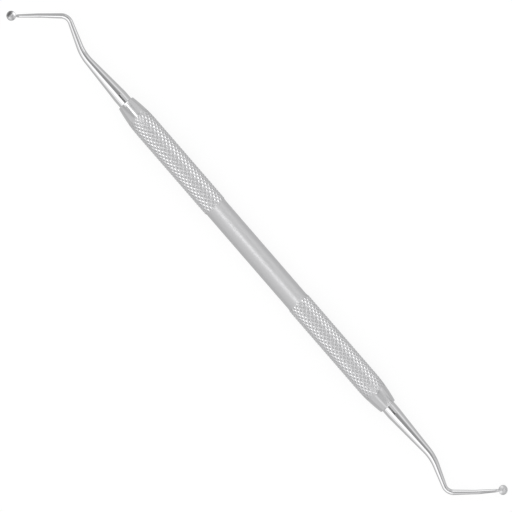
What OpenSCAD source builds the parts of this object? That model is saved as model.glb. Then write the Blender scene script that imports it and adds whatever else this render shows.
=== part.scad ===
// Double-ended dental spoon excavator, in millimetres.
// A knurled handle lies along X, with its middle at the origin. A bent working end with a small
// round spoon is set into each end. The right one points to +X, and its rounded back looks up;
// the left one points to -X, and its hollow face looks up.

/* [Handle] */
// Length of the handle between its two end faces
handle_len = 100.2; // [90:0.1:120]
// Diameter of the plain waist between the two knurled zones
waist_d = 5.88; // [5.2:0.02:7.5]
// Length of the plain waist
waist_len = 31; // [20:0.5:45]
// Diameter of the flat end faces
end_face_d = 4.56; // [4.4:0.02:5]
// Length over which the handle curves in towards each end face
nose_len = 8.85; // [6.5:0.05:13]
// Length of each nose that is turned smooth, up to the knurl
smooth_nose_len = 4.85; // [3:0.05:6]
// Edge broken off round each end face
end_edge = 0.16; // [0.05:0.01:0.3]

/* [Knurl] */
// Crossing grooves round the handle, in each of the two directions
knurl_starts = 16; // [12:1:20]
// Distance along the handle from one diamond to the next
knurl_pitch = 1.52; // [1.2:0.02:2.4]
// Height of the diamond crests above the plain waist
knurl_rise = 0.22; // [0.08:0.01:0.3]
// Depth of the grooves below the plain waist
knurl_sink = 0.14; // [0.05:0.01:0.25]

/* [Tang] */
// Diameter of the tang that holds each working end in the handle
tang_d = 2.6; // [2:0.05:2.9]
// Length of the tang
tang_len = 10; // [6:0.1:16]
// Gap round the tang for the brazing alloy
braze_gap = 0.03; // [0.02:0.005:0.06]
// Room in the drilled hole behind the tang
bore_relief = 0.5; // [0.2:0.05:1]
// Chamfer at the tip of the tang
tang_chamfer = 0.3; // [0.1:0.05:0.6]

/* [Shank] */
// Diameter of the shoulder that seats on the handle
shoulder_d = 3.66; // [3.2:0.02:4]
// Length of the shoulder before the taper starts
shoulder_len = 2.6; // [1:0.1:5]
// Angle by which the shank leans away from its first bend
shank_set = 0.8; // [0:0.1:2]
// Diameter where the first bend starts
bend_1_in_d = 2.16; // [1.9:0.02:2.6]
// Diameter where the first bend ends
bend_1_out_d = 1.76; // [1.5:0.02:2.1]
// Diameter round the second bend
bend_2_d = 1.36; // [1.2:0.02:1.6]
// Diameter round the slight tip bend
tip_bend_d = 1.12; // [0.95:0.01:1.3]
// Diameter where the wire starts to narrow to the neck
wire_end_d = 0.86; // [0.75:0.01:1]
// Centreline radius of the first bend
bend_1_r = 13; // [8:0.5:18]
// Centreline radius of the second bend
bend_2_r = 2.6; // [1.6:0.1:3.4]
// Centreline radius of the tip bend
tip_bend_r = 24; // [12:1:30]

/* [Left working end] */
// Straight length from the handle to the first bend
left_leg_1 = 13.8; // [10:0.05:18]
// Angle of the first bend
left_bend_1 = 20.8; // [10:0.1:30]
// Straight length between the first and the second bend
left_leg_2 = 6.2; // [4:0.05:9]
// Angle of the second bend
left_bend_2 = 68.2; // [50:0.1:85]
// Straight length from the second bend to the tip bend
left_leg_3 = 4.8; // [3:0.05:8]
// Angle of the tip bend
left_tip_bend = 2; // [1:0.1:8]
// Straight length from the tip bend to the neck
left_leg_4 = 4.75; // [3:0.05:7]

/* [Right working end] */
// Straight length from the handle to the first bend
right_leg_1 = 14.6; // [10:0.05:18]
// Angle of the first bend
right_bend_1 = 20.3; // [10:0.1:30]
// Straight length between the first and the second bend
right_leg_2 = 5.4; // [4:0.05:9]
// Angle of the second bend
right_bend_2 = 69.2; // [50:0.1:85]
// Straight length from the second bend to the tip bend
right_leg_3 = 4.9; // [3:0.05:8]
// Angle of the tip bend
right_tip_bend = 3.6; // [1:0.1:8]
// Straight length from the tip bend to the neck
right_leg_4 = 3.9; // [3:0.05:7]

/* [Spoon] */
// Diameter of the round spoon at its rim
spoon_d = 2.52; // [2.2:0.02:2.9]
// Radius of the rounded back
spoon_back_r = 1.5; // [1.46:0.02:1.8]
// Radius of the hollow face
spoon_hollow_r = 1.9; // [1.7:0.05:3]
// Width of the flat land left round the rim
rim_land = 0.08; // [0.04:0.01:0.15]
// Angle by which the spoon leans towards its hollow side
spoon_lean = 20; // [5:1:35]
// Centreline radius of the small bend that leans it
lean_r = 1.2; // [0.8:0.1:2]
// Diameter of the neck at the spoon
neck_d = 0.56; // [0.45:0.01:0.7]
// Free length of the neck
neck_len = 0.6; // [0.3:0.05:1.2]

/* [Hidden] */
$fn = 72;

handle_half = handle_len / 2;
waist_half = waist_len / 2;
waist_r = waist_d / 2;
end_face_r = end_face_d / 2;
crest_r = waist_r + knurl_rise;
groove_r = waist_r - knurl_sink;
bore_d = tang_d + 2 * braze_gap;
bore_depth = tang_len + bore_relief;
drill_point_angle = 118;

// The nose is an arc that leaves the line of the crests and ends at the end face
nose_start = handle_half - nose_len;
nose_drop = crest_r - end_face_r;
nose_arc_r = (nose_len * nose_len + nose_drop * nose_drop) / (2 * nose_drop);

// Radius of the handle's outside at a place along it, before it is knurled
function nose_r(x) =
    x <= nose_start ? crest_r
    : crest_r - nose_arc_r + sqrt(nose_arc_r * nose_arc_r - (x - nose_start) * (x - nose_start));

// The knurl is a net of points: crests and groove crossings take turns along and round the handle
knurl_end = handle_half - smooth_nose_len;
knurl_rows = 2 * knurl_starts;
knurl_steps = round(2 * (knurl_end - waist_half) / knurl_pitch);
knurl_step = (knurl_end - waist_half) / knurl_steps;
// The net, and the tapered wire, start this far inside the smooth surfaces that they run into
seam = 0.02;
nose_arc_sides = 720;

function knurl_x(k) = waist_half + k * knurl_step;
function knurl_row_angle(j) = (j + 0.5) * 360 / knurl_rows;
function knurl_r(j, k) =
    k == 0 ? waist_r - seam
    : k == knurl_steps ? nose_r(knurl_end) - seam
    : min((j + k) % 2 == 0 ? crest_r : groove_r, nose_r(knurl_x(k)));
function knurl_point(j, k) = [
    knurl_x(k),
    knurl_r(j, k) * sin(knurl_row_angle(j)),
    -knurl_r(j, k) * cos(knurl_row_angle(j))
];
function knurl_index(j, k) = k * knurl_rows + j % knurl_rows;
// A square of the net is split along its groove, from one crossing to the other
function knurl_square(j, k) =
    let (
        a = knurl_index(j, k),
        b = knurl_index(j + 1, k),
        c = knurl_index(j + 1, k + 1),
        d = knurl_index(j, k + 1)
    )
    (j + k) % 2 == 0 ? [[a, d, b], [b, d, c]] : [[a, c, b], [a, d, c]];

// The spoon's rim plane lies just above the neck, on the hollow side
rim_cover = 0.05;
spoon_rim_z = neck_d / 2 + rim_cover;
spoon_r = spoon_d / 2;
hollow_rim_r = spoon_r - rim_land;
back_centre_z = spoon_rim_z + sqrt(spoon_back_r * spoon_back_r - spoon_r * spoon_r);
hollow_centre_z = spoon_rim_z + sqrt(spoon_hollow_r * spoon_hollow_r - hollow_rim_r * hollow_rim_r);
// The neck runs on under the spoon, over this share of its radius, and ends inside its wall
root_d = 0.3;
root_share = 0.75;
root_len = root_share * spoon_r;

// The wire starts this far inside the shoulder
wire_cover = 0.1;
// Sides of the wire, and rings of points in each of its bends
wire_sides = 32;
bend_1_rings = 7;
bend_2_rings = 13;
tip_bend_rings = 2;
lean_rings = 4;

// A wire is a list of steps, each [length, turn in plan, lean upwards, diameter at its end]
function straight(length, d_end) = [[length, 0, 0, d_end]];
function bend(turn, lean, r, d_start, d_end, rings) =
    let (part = (abs(turn) + abs(lean)) / rings)
    [
        for (i = [1 : rings])
            [2 * r * sin(part / 2), turn / rings, lean / rings, d_start + (d_end - d_start) * i / rings]
    ];

function heading(turn, lean) = [cos(lean) * cos(turn), cos(lean) * sin(turn), sin(lean)];

// Walks along the steps and gives the stations of the wire: [place, turn, lean, radius]
function stations(steps, place, turn, lean, d, i = 0) =
    i == len(steps) ? [[place, turn, lean, d / 2]]
    : let (
        step = steps[i],
        way = heading(turn + step[1] / 2, lean + step[2] / 2)
    )
    concat(
        [[place, turn, lean, d / 2]],
        stations(steps, place + step[0] * way, turn + step[1], lean + step[2], step[3], i + 1)
    );

// One point of the ring of points round a station
function ring_point(station, j) =
    let (
        turn = station[1],
        lean = station[2],
        across = [-sin(turn), cos(turn), 0],
        up = [-sin(lean) * cos(turn), -sin(lean) * sin(turn), cos(lean)],
        angle = j * 360 / wire_sides
    )
    station[0] + station[3] * (cos(angle) * across + sin(angle) * up);
function wire_index(j, k) = k * wire_sides + j % wire_sides;

// Turns a drawing of radius against length about the X axis
module turned() {
    rotate([0, 90, 0])
        rotate_extrude()
            children();
}

module waist() {
    rotate([0, 90, 0])
        cylinder(h = waist_len, d = waist_d, center = true);
}

module knurled_zone() {
    points = [
        for (k = [0 : knurl_steps])
            for (j = [0 : knurl_rows - 1])
                knurl_point(j, k)
    ];
    skin = [
        for (k = [0 : knurl_steps - 1])
            for (j = [0 : knurl_rows - 1])
                for (side = knurl_square(j, k))
                    side
    ];
    inner_face = [for (j = [0 : knurl_rows - 1]) knurl_index(j, 0)];
    outer_face = [for (j = [knurl_rows - 1 : -1 : 0]) knurl_index(j, knurl_steps)];
    polyhedron(points, concat(skin, [inner_face, outer_face]));
}

module smooth_nose() {
    edge_start = handle_half - end_edge;
    turned()
        intersection() {
            translate([crest_r - nose_arc_r, nose_start])
                circle(r = nose_arc_r, $fn = nose_arc_sides);
            polygon([
                [0, knurl_end],
                [crest_r, knurl_end],
                [crest_r, edge_start],
                [nose_r(edge_start), edge_start],
                [end_face_r - end_edge, handle_half],
                [0, handle_half]
            ]);
        }
}

module tang_bore() {
    bore_r = bore_d / 2;
    floor_x = handle_half - bore_depth;
    point_len = bore_r / tan(drill_point_angle / 2);
    turned()
        polygon([
            [0, floor_x - point_len],
            [bore_r, floor_x],
            [bore_r, handle_half],
            [0, handle_half]
        ]);
}

module half_handle() {
    difference() {
        union() {
            knurled_zone();
            smooth_nose();
        }
        tang_bore();
    }
}

module handle() {
    color([0.74, 0.74, 0.75])
        union() {
            waist();
            half_handle();
            rotate([0, 0, 180])
                half_handle();
        }
}

module tang() {
    turned()
        polygon([
            [0, -tang_len],
            [tang_d / 2 - tang_chamfer, -tang_len],
            [tang_d / 2, tang_chamfer - tang_len],
            [tang_d / 2, 0],
            [0, 0]
        ]);
}

module shoulder() {
    rotate([0, 90, 0])
        cylinder(h = shoulder_len, d = shoulder_d);
}

// A round wire through its stations, with a flat face at each end
module wire(line) {
    last = len(line) - 1;
    points = [
        for (station = line)
            for (j = [0 : wire_sides - 1])
                ring_point(station, j)
    ];
    skin = [
        for (k = [0 : last - 1])
            for (j = [0 : wire_sides - 1])
                [wire_index(j, k), wire_index(j, k + 1), wire_index(j + 1, k + 1), wire_index(j + 1, k)]
    ];
    first_face = [for (j = [0 : wire_sides - 1]) wire_index(j, 0)];
    last_face = [for (j = [wire_sides - 1 : -1 : 0]) wire_index(j, last)];
    polyhedron(points, concat(skin, [first_face, last_face]));
}

// The bowl's centre is at the origin in plan, and its hollow looks to +Z
module bowl_back() {
    rotate_extrude()
        intersection() {
            translate([0, back_centre_z])
                circle(r = spoon_back_r);
            translate([0, spoon_rim_z - spoon_back_r])
                square([spoon_back_r, spoon_back_r]);
        }
}

module bowl_hollow() {
    translate([0, 0, hollow_centre_z])
        sphere(r = spoon_hollow_r);
}

// Puts the bowl's parts at the end of the neck, leaning as the neck does
module at_spoon(neck_end) {
    back_to_centre = spoon_r - root_len;
    translate(neck_end[0])
        rotate([0, -neck_end[2], neck_end[1]])
            translate([back_to_centre, 0, 0])
                children();
}

// A working end points to +X from its shoulder's face, bends in the XY plane and looks to +Z
module working_end(leg_1, bend_1, leg_2, bend_2, leg_3, tip_bend, leg_4) {
    wire_start = shoulder_len - wire_cover;
    wire_start_d = shoulder_d - 2 * seam;
    steps = concat(
        straight(wire_cover, wire_start_d),
        straight(leg_1 - shoulder_len, bend_1_in_d),
        bend(-bend_1, 0, bend_1_r, bend_1_in_d, bend_1_out_d, bend_1_rings),
        straight(leg_2, bend_2_d),
        bend(bend_2, 0, bend_2_r, bend_2_d, bend_2_d, bend_2_rings),
        straight(leg_3, tip_bend_d),
        bend(tip_bend, 0, tip_bend_r, tip_bend_d, tip_bend_d, tip_bend_rings),
        straight(leg_4, wire_end_d),
        bend(0, spoon_lean, lean_r, wire_end_d, wire_end_d, lean_rings),
        straight(neck_len, neck_d),
        straight(root_len, root_d)
    );
    line = stations(steps, [wire_start, 0, 0], shank_set, 0, wire_start_d);
    neck_end = line[len(line) - 1];
    difference() {
        union() {
            tang();
            shoulder();
            wire(line);
            at_spoon(neck_end)
                bowl_back();
        }
        at_spoon(neck_end)
            bowl_hollow();
    }
}

module left_working_end() {
    color([0.85, 0.85, 0.87])
        translate([-handle_half, 0, 0])
            rotate([0, 0, 180])
                working_end(
                    left_leg_1, left_bend_1, left_leg_2, left_bend_2,
                    left_leg_3, left_tip_bend, left_leg_4
                );
}

module right_working_end() {
    color([0.85, 0.85, 0.87])
        translate([handle_half, 0, 0])
            mirror([0, 0, 1])
                working_end(
                    right_leg_1, right_bend_1, right_leg_2, right_bend_2,
                    right_leg_3, right_tip_bend, right_leg_4
                );
}

handle();
left_working_end();
right_working_end();
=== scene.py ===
import math

import bmesh
import bpy
from mathutils import Matrix, Vector


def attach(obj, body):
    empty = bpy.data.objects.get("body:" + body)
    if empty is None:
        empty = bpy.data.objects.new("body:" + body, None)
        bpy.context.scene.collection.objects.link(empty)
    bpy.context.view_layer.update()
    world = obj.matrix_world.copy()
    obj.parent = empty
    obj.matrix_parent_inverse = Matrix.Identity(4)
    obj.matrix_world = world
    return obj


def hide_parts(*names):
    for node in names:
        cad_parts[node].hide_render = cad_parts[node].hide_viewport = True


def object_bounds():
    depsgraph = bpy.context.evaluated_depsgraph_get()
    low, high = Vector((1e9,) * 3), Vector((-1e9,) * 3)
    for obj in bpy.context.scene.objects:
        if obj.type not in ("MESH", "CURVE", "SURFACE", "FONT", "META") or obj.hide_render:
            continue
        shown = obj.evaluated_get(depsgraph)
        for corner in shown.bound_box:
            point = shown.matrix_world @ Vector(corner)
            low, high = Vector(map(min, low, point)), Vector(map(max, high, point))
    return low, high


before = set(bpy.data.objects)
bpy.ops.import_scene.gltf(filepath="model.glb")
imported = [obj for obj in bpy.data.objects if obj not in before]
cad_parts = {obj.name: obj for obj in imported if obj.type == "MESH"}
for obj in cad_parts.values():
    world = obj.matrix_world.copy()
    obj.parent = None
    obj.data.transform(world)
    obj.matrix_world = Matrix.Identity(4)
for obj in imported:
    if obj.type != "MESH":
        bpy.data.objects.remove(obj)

cad_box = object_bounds()

MM = 0.001

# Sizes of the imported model, in millimetres
HANDLE_HALF = 50.1
WAIST_HALF = 15.5
WAIST_R = 2.94
END_FACE_R = 2.28
NOSE_LEN = 8.85
SMOOTH_NOSE_LEN = 4.09
END_EDGE = 0.16
CREST_R = 3.154
GROOVE_R = 2.87
KNURL_STARTS = 20
KNURL_PITCH = 1.52
SHOULDER_D = 3.66
SHOULDER_LEN = 2.6
SHANK_SET = 0.8
BEND_1_IN_D = 2.16
BEND_1_OUT_D = 1.76
BEND_2_D = 1.36
TIP_BEND_D = 1.12
WIRE_END_D = 0.86
BEND_1_R = 13.0
BEND_2_R = 2.6
TIP_BEND_R = 24.0
SPOON_R = 1.26
SPOON_BACK_R = 1.5
SPOON_HOLLOW_R = 1.9
RIM_LAND = 0.08
SPOON_LEAN = 20.0
LEAN_R = 1.2
NECK_D = 0.56
NECK_LEN = 0.6
ROOT_D = 0.3
LEFT = dict(leg_1=13.8, bend_1=20.8, leg_2=6.2, bend_2=68.2, leg_3=4.8, tip_bend=2.0, leg_4=4.75)
RIGHT = dict(leg_1=14.6, bend_1=20.3, leg_2=5.4, bend_2=69.2, leg_3=4.9, tip_bend=3.6, leg_4=3.9)

# The photograph's frame: where the handle's middle is, which way it runs, and its scale
IMAGE_SIZE = 512
PIXELS_PER_MM = 4.0
MIDDLE_PX = (256.906, 254.676)
ALONG_PX = (0.654126, 0.756386)


def smooth(t):
    t = min(1.0, max(0.0, t))
    return t * t * (3 - 2 * t)


def new_object(name, bm):
    mesh = bpy.data.meshes.new(name)
    bm.normal_update()
    bm.to_mesh(mesh)
    bm.free()
    obj = bpy.data.objects.new(name, mesh)
    bpy.context.scene.collection.objects.link(obj)
    return obj


def shade_smooth(obj, angle=30.0):
    for face in obj.data.polygons:
        face.use_smooth = True
    obj.data.set_sharp_from_angle(angle=math.radians(angle))


# Handle

NOSE_START = HANDLE_HALF - NOSE_LEN
NOSE_DROP = CREST_R - END_FACE_R
NOSE_ARC_R = (NOSE_LEN ** 2 + NOSE_DROP ** 2) / (2 * NOSE_DROP)
KNURL_END = HANDLE_HALF - SMOOTH_NOSE_LEN
KNURL_ROWS = 2 * KNURL_STARTS
KNURL_STEPS = round(2 * (KNURL_END - WAIST_HALF) / KNURL_PITCH)
KNURL_STEP = (KNURL_END - WAIST_HALF) / KNURL_STEPS
SPLITS = 5
SIDES = KNURL_ROWS * SPLITS


def nose_r(x):
    if x <= NOSE_START:
        return CREST_R
    return CREST_R - NOSE_ARC_R + math.sqrt(NOSE_ARC_R ** 2 - (x - NOSE_START) ** 2)


def groove_depth(row, step):
    """How far down the knurl is, from 0 on a diamond's crest to 1 in a groove."""
    p = (row + step) / 2
    q = (row - step) / 2
    down = 2 * max(abs(p - round(p)), abs(q - round(q)))
    crest = max(0.0, down - 0.16) / 0.84
    return crest if crest < 0.86 else 0.86 + 0.14 * math.sin((crest - 0.86) / 0.14 * math.pi / 2) * 0.72


def handle_r(x, row):
    """Radius of the handle's surface at |x| and at a place round it, counted in knurl rows."""
    if x <= WAIST_HALF:
        return WAIST_R
    if x >= KNURL_END:
        return nose_r(x)
    step = (x - WAIST_HALF) / KNURL_STEP
    knurled = CREST_R - (CREST_R - GROOVE_R) * groove_depth(row, step)
    knurled = min(knurled, nose_r(x))
    start = smooth(step)
    end = smooth(KNURL_STEPS - step)
    return (knurled * end + nose_r(x) * (1 - end)) * start + WAIST_R * (1 - start)


def handle_places():
    """Places along half of the handle where it gets a ring of points."""
    places = [WAIST_HALF * i / 8 for i in range(9)]
    places += [WAIST_HALF + KNURL_STEP * i / SPLITS for i in range(1, KNURL_STEPS * SPLITS + 1)]
    edge = HANDLE_HALF - END_EDGE
    places += [KNURL_END + (edge - KNURL_END) * i / 20 for i in range(1, 21)]
    return places


def make_handle():
    bm = bmesh.new()
    half = handle_places()
    stations = [(-x, None) for x in reversed(half[1:])] + [(x, None) for x in half]
    edge_rings = 4
    rings = []

    def ring(x, radius_of):
        made = []
        for i in range(SIDES):
            row = i / SPLITS
            angle = (row + 0.5) * 2 * math.pi / KNURL_ROWS
            r = radius_of(row)
            made.append(bm.verts.new((x * MM, r * math.sin(angle) * MM, -r * math.cos(angle) * MM)))
        return made

    def edge_ring(side, k):
        turn = k / edge_rings * math.pi / 2
        x = HANDLE_HALF - END_EDGE + END_EDGE * math.sin(turn)
        r = nose_r(HANDLE_HALF - END_EDGE) - END_EDGE * (1 - math.cos(turn))
        return ring(side * x, lambda row: r)

    for k in range(edge_rings, 0, -1):
        rings.append(edge_ring(-1, k))
    for x, _ in stations:
        if x < 0:
            rings.append(ring(x, lambda row, x=x: handle_r(-x, -row - 1)))
        else:
            rings.append(ring(x, lambda row, x=x: handle_r(x, row)))
    for k in range(1, edge_rings + 1):
        rings.append(edge_ring(1, k))
    for a, b in zip(rings, rings[1:]):
        for i in range(SIDES):
            j = (i + 1) % SIDES
            bm.faces.new((a[i], b[i], b[j], a[j]))
    for end, side in ((rings[0], -1), (rings[-1], 1)):
        inner = [bm.verts.new((side * HANDLE_HALF * MM, v.co.y * 0.5, v.co.z * 0.5)) for v in end]
        for i in range(SIDES):
            j = (i + 1) % SIDES
            bm.faces.new((end[i], end[j], inner[j], inner[i]) if side < 0 else (end[j], end[i], inner[i], inner[j]))
        bm.faces.new(inner if side < 0 else list(reversed(inner)))
    bmesh.ops.recalc_face_normals(bm, faces=bm.faces)
    obj = new_object("knurled_handle", bm)
    shade_smooth(obj, 40)
    return obj


# Working ends

WIRE_SIDES = 48
RIM_Z = NECK_D / 2 + 0.05
ROOT_LEN = 0.75 * SPOON_R


def bend_steps(turn, lean, r, d_start, d_end, rings):
    part = math.radians((abs(turn) + abs(lean)) / rings)
    chord = 2 * r * math.sin(part / 2)
    return [(chord, turn / rings, lean / rings, d_start + (d_end - d_start) * i / rings) for i in range(1, rings + 1)]


def straight_steps(length, d_start, d_end, rings):
    return [(length / rings, 0, 0, d_start + (d_end - d_start) * i / rings) for i in range(1, rings + 1)]


def wire_stations(leg_1, bend_1, leg_2, bend_2, leg_3, tip_bend, leg_4):
    start_d = SHOULDER_D - 0.04
    steps = straight_steps(0.1, start_d, start_d, 1)
    taper = (start_d - BEND_1_IN_D) / (leg_1 - SHOULDER_LEN)
    short = 0.1
    steps += straight_steps(short, start_d, start_d - short * taper, 1)
    steps += straight_steps(leg_1 - SHOULDER_LEN - short, start_d - short * taper, BEND_1_IN_D, 10)
    steps += bend_steps(-bend_1, 0, BEND_1_R, BEND_1_IN_D, BEND_1_OUT_D, 24)
    steps += straight_steps(leg_2, BEND_1_OUT_D, BEND_2_D, 6)
    steps += bend_steps(bend_2, 0, BEND_2_R, BEND_2_D, BEND_2_D, 36)
    steps += straight_steps(leg_3, BEND_2_D, TIP_BEND_D, 5)
    steps += bend_steps(tip_bend, 0, TIP_BEND_R, TIP_BEND_D, TIP_BEND_D, 4)
    steps += straight_steps(leg_4, TIP_BEND_D, WIRE_END_D, 5)
    steps += bend_steps(0, SPOON_LEAN, LEAN_R, WIRE_END_D, WIRE_END_D - 0.06, 10)
    steps += straight_steps(NECK_LEN, WIRE_END_D - 0.06, NECK_D, 4)
    steps += straight_steps(ROOT_LEN, NECK_D, ROOT_D, 2)
    place = Vector((SHOULDER_LEN - 0.1, 0, 0))
    turn, lean, d = SHANK_SET, 0.0, start_d
    line = [(place.copy(), turn, lean, d / 2)]
    for length, dturn, dlean, d_end in steps:
        a = math.radians(turn + dturn / 2)
        e = math.radians(lean + dlean / 2)
        place = place + length * Vector((math.cos(e) * math.cos(a), math.cos(e) * math.sin(a), math.sin(e)))
        turn += dturn
        lean += dlean
        line.append((place.copy(), turn, lean, d_end / 2))
    return line


def wire_mesh(line):
    bm = bmesh.new()
    rings = []
    for place, turn, lean, r in line:
        t, e = math.radians(turn), math.radians(lean)
        across = Vector((-math.sin(t), math.cos(t), 0))
        up = Vector((-math.sin(e) * math.cos(t), -math.sin(e) * math.sin(t), math.cos(e)))
        ring = []
        for j in range(WIRE_SIDES):
            angle = 2 * math.pi * j / WIRE_SIDES
            ring.append(bm.verts.new(place + r * (math.cos(angle) * across + math.sin(angle) * up)))
        rings.append(ring)
    for a, b in zip(rings, rings[1:]):
        for j in range(WIRE_SIDES):
            k = (j + 1) % WIRE_SIDES
            bm.faces.new((a[j], b[j], b[k], a[k]))
    bm.faces.new(rings[0])
    bm.faces.new(list(reversed(rings[-1])))
    bmesh.ops.recalc_face_normals(bm, faces=bm.faces)
    return new_object("wire", bm)


def revolved(name, profile, sides, axis="Z"):
    """A closed solid from a profile of (radius, height) pairs that starts and ends on its axis."""
    bm = bmesh.new()
    rings = []
    for r, h in profile:
        if r < 1e-9:
            rings.append([bm.verts.new((0, 0, h))])
        else:
            ring = []
            for j in range(sides):
                a = 2 * math.pi * j / sides
                ring.append(bm.verts.new((r * math.cos(a), r * math.sin(a), h)))
            rings.append(ring)
    for a, b in zip(rings, rings[1:]):
        for j in range(sides):
            k = (j + 1) % sides
            corners = [a[j % len(a)], a[k % len(a)], b[k % len(b)], b[j % len(b)]]
            unique = []
            for v in corners:
                if v not in unique:
                    unique.append(v)
            bm.faces.new(unique)
    if axis == "X":
        bm.transform(Matrix.Rotation(math.pi / 2, 4, "Y"))
    bmesh.ops.recalc_face_normals(bm, faces=bm.faces)
    return new_object(name, bm)


def bowl():
    """The round spoon before it is hollowed, with its rim plane to +Z and its centre over the origin."""
    back_centre = RIM_Z + math.sqrt(SPOON_BACK_R ** 2 - SPOON_R ** 2)
    reach = math.asin(SPOON_R / SPOON_BACK_R)
    profile = []
    for i in range(25):
        a = reach * i / 24
        profile.append((SPOON_BACK_R * math.sin(a), back_centre - SPOON_BACK_R * math.cos(a)))
    profile.append((0, RIM_Z))
    return revolved("bowl", profile, 72)


def hollow():
    """The ball that cuts the spoon's hollow."""
    centre = RIM_Z + math.sqrt(SPOON_HOLLOW_R ** 2 - (SPOON_R - RIM_LAND) ** 2)
    profile = []
    for i in range(49):
        a = math.pi * i / 48
        profile.append((SPOON_HOLLOW_R * math.sin(a), centre - SPOON_HOLLOW_R * math.cos(a)))
    profile[0] = (0, profile[0][1])
    profile[-1] = (0, profile[-1][1])
    return revolved("hollow", profile, 96)


def shoulder():
    """The shoulder that seats on the handle, with its outer edge a little broken."""
    edge = 0.03
    r = SHOULDER_D / 2
    profile = [(0, 0), (r - edge, 0), (r, edge), (r, SHOULDER_LEN - edge), (r - edge, SHOULDER_LEN)]
    profile += [(0, SHOULDER_LEN)]
    return revolved("shoulder", profile, 96, "X")


# Edges shorter than this, in millimetres, are slivers that the joining leaves
SLIVER = 0.001


def combine(base, *steps):
    for operation, other in steps:
        change = base.modifiers.new("change", "BOOLEAN")
        change.operation = operation
        change.solver = "EXACT"
        change.object = other
        bpy.context.view_layer.update()
        graph = bpy.context.evaluated_depsgraph_get()
        mesh = bpy.data.meshes.new_from_object(base.evaluated_get(graph))
        base.modifiers.clear()
        base.data = mesh
        bpy.data.objects.remove(other)
    bm = bmesh.new()
    bm.from_mesh(base.data)
    bmesh.ops.dissolve_degenerate(bm, dist=SLIVER, edges=bm.edges[:])
    bm.to_mesh(base.data)
    bm.free()


def make_working_end(name, sizes, side):
    line = wire_stations(**sizes)
    base = wire_mesh(line)
    root_end, turn, lean, _ = line[-1]
    spoon, cutter = bowl(), hollow()
    to_spoon = (
        Matrix.Translation(root_end)
        @ Matrix.Rotation(math.radians(turn), 4, "Z")
        @ Matrix.Rotation(-math.radians(lean), 4, "Y")
        @ Matrix.Translation((SPOON_R - ROOT_LEN, 0, 0))
    )
    spoon.data.transform(to_spoon)
    cutter.data.transform(to_spoon)
    combine(base, ("UNION", shoulder()), ("UNION", spoon), ("DIFFERENCE", cutter))
    place = Matrix.Translation((side * HANDLE_HALF, 0, 0))
    if side < 0:
        place = place @ Matrix.Rotation(math.pi, 4, "Z")
    else:
        place = place @ Matrix.Diagonal((1, 1, -1, 1))
    base.data.transform(Matrix.Diagonal((MM, MM, MM, 1)) @ place)
    if side > 0:
        base.data.flip_normals()
    base.name = name
    base.data.name = name
    shade_smooth(base, 32)
    spoon_centre = Matrix.Diagonal((MM, MM, MM, 1)) @ place @ to_spoon @ Vector((0, 0, 0))
    return base, spoon_centre


# Materials

# Share of the way from the waist's satin to the noses' polish that the knurl has
KNURL_GLOSS = 0.42


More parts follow.
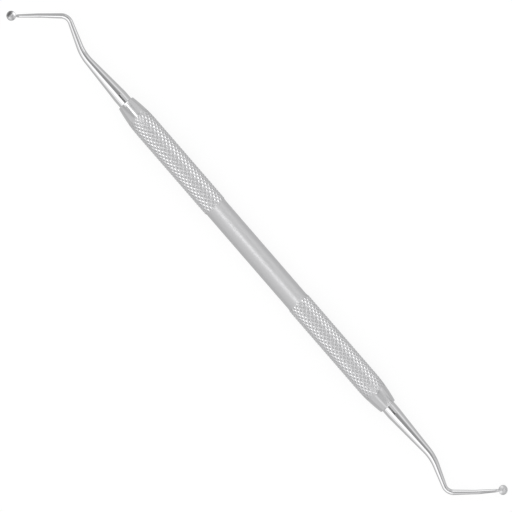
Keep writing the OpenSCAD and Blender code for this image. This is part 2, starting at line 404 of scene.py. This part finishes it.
def steel(name, color, roughness, waves, grain, bump, nose_roughness=None, spoons=()):
    """Steel whose gloss varies a little, with fine marks of the lathe or the polishing wheel."""
    mat = bpy.data.materials.new(name)
    mat.use_nodes = True
    nodes, links = mat.node_tree.nodes, mat.node_tree.links
    shader = nodes["Principled BSDF"]
    shader.inputs["Metallic"].default_value = 1.0
    place = nodes.new("ShaderNodeTexCoord")
    stretch = nodes.new("ShaderNodeMapping")
    stretch.inputs["Scale"].default_value = grain
    links.new(place.outputs["Object"], stretch.inputs["Vector"])
    lines = nodes.new("ShaderNodeTexNoise")
    lines.inputs["Scale"].default_value = 1.0
    lines.inputs["Detail"].default_value = 3.0
    lines.inputs["Roughness"].default_value = 0.6
    links.new(stretch.outputs["Vector"], lines.inputs["Vector"])
    cloud = nodes.new("ShaderNodeTexNoise")
    cloud.inputs["Scale"].default_value = 260.0
    cloud.inputs["Detail"].default_value = 4.0
    links.new(place.outputs["Object"], cloud.inputs["Vector"])
    gloss = nodes.new("ShaderNodeMapRange")
    gloss.inputs["From Min"].default_value = 0.3
    gloss.inputs["From Max"].default_value = 0.7
    gloss.inputs["To Min"].default_value = roughness - waves
    gloss.inputs["To Max"].default_value = roughness + waves
    links.new(cloud.outputs["Fac"], gloss.inputs["Value"])
    rough = gloss.outputs["Result"]
    if nose_roughness is not None:
        axes = nodes.new("ShaderNodeSeparateXYZ")
        links.new(place.outputs["Object"], axes.inputs["Vector"])
        far = nodes.new("ShaderNodeMath")
        far.operation = "ABSOLUTE"
        links.new(axes.outputs["X"], far.inputs[0])
        for start, end, drop in ((WAIST_HALF, WAIST_HALF + 0.8, KNURL_GLOSS), (KNURL_END - 1, KNURL_END, 1.0)):
            zone = nodes.new("ShaderNodeMapRange")
            zone.inputs["From Min"].default_value = start * MM
            zone.inputs["From Max"].default_value = end * MM
            zone.inputs["To Max"].default_value = drop
            links.new(far.outputs[0], zone.inputs["Value"])
            blend = nodes.new("ShaderNodeMix")
            blend.inputs["B"].default_value = nose_roughness
            links.new(zone.outputs["Result"], blend.inputs["Factor"])
            links.new(rough, blend.inputs["A"])
            rough = blend.outputs["Result"]
    for centre, spoon_roughness in spoons:
        reach = nodes.new("ShaderNodeVectorMath")
        reach.operation = "DISTANCE"
        links.new(place.outputs["Object"], reach.inputs[0])
        reach.inputs[1].default_value = centre
        near = nodes.new("ShaderNodeMapRange")
        near.inputs["From Min"].default_value = (SPOON_R + 0.25) * MM
        near.inputs["From Max"].default_value = (SPOON_R + 0.1) * MM
        links.new(reach.outputs["Value"], near.inputs["Value"])
        blend = nodes.new("ShaderNodeMix")
        blend.inputs["B"].default_value = spoon_roughness
        links.new(near.outputs["Result"], blend.inputs["Factor"])
        links.new(rough, blend.inputs["A"])
        rough = blend.outputs["Result"]
    links.new(rough, shader.inputs["Roughness"])
    tone = nodes.new("ShaderNodeMixRGB")
    tone.inputs["Color1"].default_value = (color[0] * 0.97, color[1] * 0.97, color[2] * 0.975, 1)
    tone.inputs["Color2"].default_value = (color[0] * 1.02, color[1] * 1.02, color[2] * 1.02, 1)
    links.new(lines.outputs["Fac"], tone.inputs["Fac"])
    links.new(tone.outputs["Color"], shader.inputs["Base Color"])
    rise = nodes.new("ShaderNodeBump")
    rise.inputs["Strength"].default_value = bump
    rise.inputs["Distance"].default_value = 0.00001
    links.new(lines.outputs["Fac"], rise.inputs["Height"])
    links.new(rise.outputs["Normal"], shader.inputs["Normal"])
    return mat


satin = steel("satin_steel", (0.53, 0.53, 0.535), 0.43, 0.03, (9000.0, 300.0, 300.0), 0.2, 0.12)

handle = make_handle()
handle.data.materials.append(satin)
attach(handle, "root")
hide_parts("handle")

left_end, left_spoon = make_working_end("left_shank_and_spoon", LEFT, -1)
right_end, right_spoon = make_working_end("right_shank_and_spoon", RIGHT, 1)
polished = steel(
    "polished_steel", (0.54, 0.54, 0.545), 0.06, 0.02, (1500.0, 1500.0, 1500.0), 0.04,
    spoons=((left_spoon, 0.24), (right_spoon, 0.4)),
)
for end, node in ((left_end, "left_working_end"), (right_end, "right_working_end")):
    end.data.materials.clear()
    end.data.materials.append(polished)
    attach(end, "root")
    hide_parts(node)

# Floor, world and lamps

FLOOR_Z = cad_box[0].z


def make_floor():
    bm = bmesh.new()
    size = 3.0
    corners = [bm.verts.new((x * size, y * size, FLOOR_Z)) for x, y in ((-1, -1), (1, -1), (1, 1), (-1, 1))]
    bm.faces.new(corners)
    floor = new_object("floor", bm)
    mat = bpy.data.materials.new("pale_floor")
    mat.use_nodes = True
    nodes, links = mat.node_tree.nodes, mat.node_tree.links
    shader = nodes["Principled BSDF"]
    shader.inputs["Base Color"].default_value = (0.22, 0.22, 0.22, 1)
    shader.inputs["Roughness"].default_value = 0.9
    shader.inputs["Specular IOR Level"].default_value = 0.0
    shader.inputs["Emission Color"].default_value = (1, 1, 1, 1)
    path = nodes.new("ShaderNodeLightPath")
    glow = nodes.new("ShaderNodeMath")
    glow.operation = "MULTIPLY_ADD"
    links.new(path.outputs["Is Camera Ray"], glow.inputs[0])
    glow.inputs[1].default_value = 0.84
    mirrored = nodes.new("ShaderNodeMath")
    mirrored.operation = "MULTIPLY"
    links.new(path.outputs["Is Glossy Ray"], mirrored.inputs[0])
    mirrored.inputs[1].default_value = 0.66
    links.new(mirrored.outputs[0], glow.inputs[2])
    links.new(glow.outputs[0], shader.inputs["Emission Strength"])
    floor.data.materials.append(mat)
    return floor


def make_world():
    """A white studio with a darker opening overhead, where the camera looks in."""
    world = bpy.data.worlds.new("studio")
    bpy.context.scene.world = world
    world.use_nodes = True
    nodes, links = world.node_tree.nodes, world.node_tree.links
    back = nodes["Background"]
    back.inputs["Strength"].default_value = 1.0
    way = nodes.new("ShaderNodeTexCoord")
    axes = nodes.new("ShaderNodeSeparateXYZ")
    links.new(way.outputs["Generated"], axes.inputs[0])

    def node(kind, *values):
        made = nodes.new("ShaderNodeMath")
        made.operation = kind
        for i, value in enumerate(values):
            if isinstance(value, (int, float)):
                made.inputs[i].default_value = value
            else:
                links.new(value, made.inputs[i])
        return made.outputs[0]

    def step(value, low, high):
        made = nodes.new("ShaderNodeMapRange")
        made.interpolation_type = "SMOOTHSTEP"
        made.inputs["From Min"].default_value = low
        made.inputs["From Max"].default_value = high
        links.new(value, made.inputs["Value"])
        return made.outputs["Result"]

    side = node("ARCTAN2", node("MULTIPLY", axes.outputs["Y"], -1.0), axes.outputs["Z"])
    lean = node("ABSOLUTE", node("ARCSINE", axes.outputs["X"]))
    turn = node("ARCTAN2", axes.outputs["Y"], axes.outputs["X"])
    rise = node("ARCSINE", axes.outputs["Z"])

    def band(value, low, high, soft_low, soft_high):
        """1 where a value in degrees is between two others, with soft edges, and 0 elsewhere."""
        low, high, soft_low, soft_high = map(math.radians, (low, high, soft_low, soft_high))
        return node("MULTIPLY", step(value, low - soft_low, low), step(value, high + soft_high, high))

    dark = node("MULTIPLY", band(side, -26, 10, 22, 5), band(lean, 5.5, 12, 2.5, 1))
    opening = node("MULTIPLY", band(side, -14, 10, 4, 4), band(lean, 2.65, 3.3, 0.1, 0.6))
    line = node("MULTIPLY", band(side, -66, -54, 4, 4), band(lean, 2.65, 12, 0.1, 1))
    high_gap = node("MULTIPLY", band(turn, -15, 49, 6, 5), band(rise, 12, 51, 6, 4))
    low_gap = node("MULTIPLY", band(turn, -40, 69, 6, 4), band(rise, -2, 26, 3, 4))
    gap = node("MAXIMUM", high_gap, low_gap)
    far_side = node("MULTIPLY", band(turn, 126, 156, 6, 6), band(rise, 16, 56, 6, 6))
    left_side = node("MULTIPLY", band(turn, -165, -115, 8, 8), band(rise, 12, 60, 8, 8))
    right_lean = node("ARCSINE", axes.outputs["X"])
    nose_dark = node("MULTIPLY", band(side, -36, 12, 6, 3), band(right_lean, 14, 23, 2, 2))
    nose_light = node("MULTIPLY", band(side, 18, 32, 3, 5), band(right_lean, 14, 23, 2, 2))
    level = node("SUBTRACT", 1.0, node("MULTIPLY", dark, 0.48))
    level = node("MULTIPLY", level, node("SUBTRACT", 1.0, opening))
    level = node("ADD", level, node("MULTIPLY", line, 0.45))
    level = node("SUBTRACT", level, node("MULTIPLY", gap, 0.75))
    level = node("SUBTRACT", level, node("MULTIPLY", far_side, 0.35))
    level = node("SUBTRACT", level, node("MULTIPLY", left_side, 0.25))
    level = node("SUBTRACT", level, node("MULTIPLY", nose_dark, 0.13))
    level = node("ADD", level, node("MULTIPLY", nose_light, 0.28))
    mix = nodes.new("ShaderNodeCombineColor")
    for channel in ("Red", "Green", "Blue"):
        links.new(level, mix.inputs[channel])
    links.new(mix.outputs["Color"], back.inputs["Color"])


def area_lamp(name, place, target, size, size_y, radiance, lit):
    """A soft lamp that lights only the pieces named, at a given brightness of its surface."""
    data = bpy.data.lights.new(name, "AREA")
    data.shape = "RECTANGLE"
    data.size = size
    data.size_y = size_y
    data.energy = radiance * size * size_y * 4
    lamp = bpy.data.objects.new(name, data)
    bpy.context.scene.collection.objects.link(lamp)
    lamp.location = place
    lamp.rotation_mode = "QUATERNION"
    lamp.rotation_quaternion = (Vector(target) - Vector(place)).to_track_quat("-Z", "Y")
    lamp.visible_camera = False
    group = bpy.data.collections.new(name + "_lights")
    for piece in lit:
        group.objects.link(piece)
    lamp.light_linking.receiver_collection = group
    return lamp


make_floor()
make_world()
area_lamp("side_box", (-0.02, -0.44, 0.67), (0, 0, 0), 0.9, 0.56, 0.8, [left_end, right_end])
area_lamp("low_side_box", (-0.02, -0.74, 0.3), (0, 0, 0), 0.9, 0.44, 0.38, [left_end, right_end])
area_lamp("top_strip", (-0.25, -0.065, 1.2), (-0.25, -0.065, 0), 1.0, 0.32, 1.45, [handle])
area_lamp("end_box", (-0.95, 0.0, 0.88), (0, 0, 0), 1.5, 0.9, 1.45, [handle])
area_lamp("far_end_box", (0.95, 0.05, 0.86), (0, 0, 0), 1.4, 0.9, 0.6, [handle])
area_lamp("fill_box", (0.84, 0.26, 0.46), (0, 0, 0), 1.2, 0.8, 0.75, [handle, right_end])
area_lamp("gap_box", (0.48, 0.87, 0.25), (0.05, 0, 0), 0.2, 0.5, 0.6, [handle, right_end])
area_lamp("far_box", (-0.62, 0.56, 0.52), (0, 0, 0), 0.5, 0.9, 0.95, [right_end])
area_lamp("near_box", (0.68, -0.59, 0.42), (0, 0, 0), 0.4, 0.7, 0.45, [right_end])
area_lamp("line_box", (0.1, 0.95, 0.3), (-0.07, 0, 0), 0.25, 0.35, 0.6, [left_end])
area_lamp("spoon_box", (0.33, 0.33, 0.88), (0, 0, 0), 0.25, 0.25, 0.4, [left_end])

# Camera

DISTANCE = 1.0


def make_camera():
    data = bpy.data.cameras.new("camera")
    camera = bpy.data.objects.new("camera", data)
    bpy.context.scene.collection.objects.link(camera)
    frame_mm = IMAGE_SIZE / PIXELS_PER_MM
    data.sensor_width = 36.0
    data.lens = 36.0 * DISTANCE / (frame_mm * MM)
    data.clip_start = 0.1
    data.clip_end = 20.0
    right = Vector((ALONG_PX[0], ALONG_PX[1], 0))
    up = Vector((-ALONG_PX[1], ALONG_PX[0], 0))
    off_right = (IMAGE_SIZE / 2 - MIDDLE_PX[0]) / PIXELS_PER_MM * MM
    off_up = -(IMAGE_SIZE / 2 - MIDDLE_PX[1]) / PIXELS_PER_MM * MM
    place = right * off_right + up * off_up + Vector((0, 0, DISTANCE))
    camera.matrix_world = Matrix((
        (right.x, up.x, 0, place.x),
        (right.y, up.y, 0, place.y),
        (0, 0, 1, place.z),
        (0, 0, 0, 1),
    ))
    bpy.context.scene.camera = camera


make_camera()
bpy.context.scene.view_settings.view_transform = "Standard"
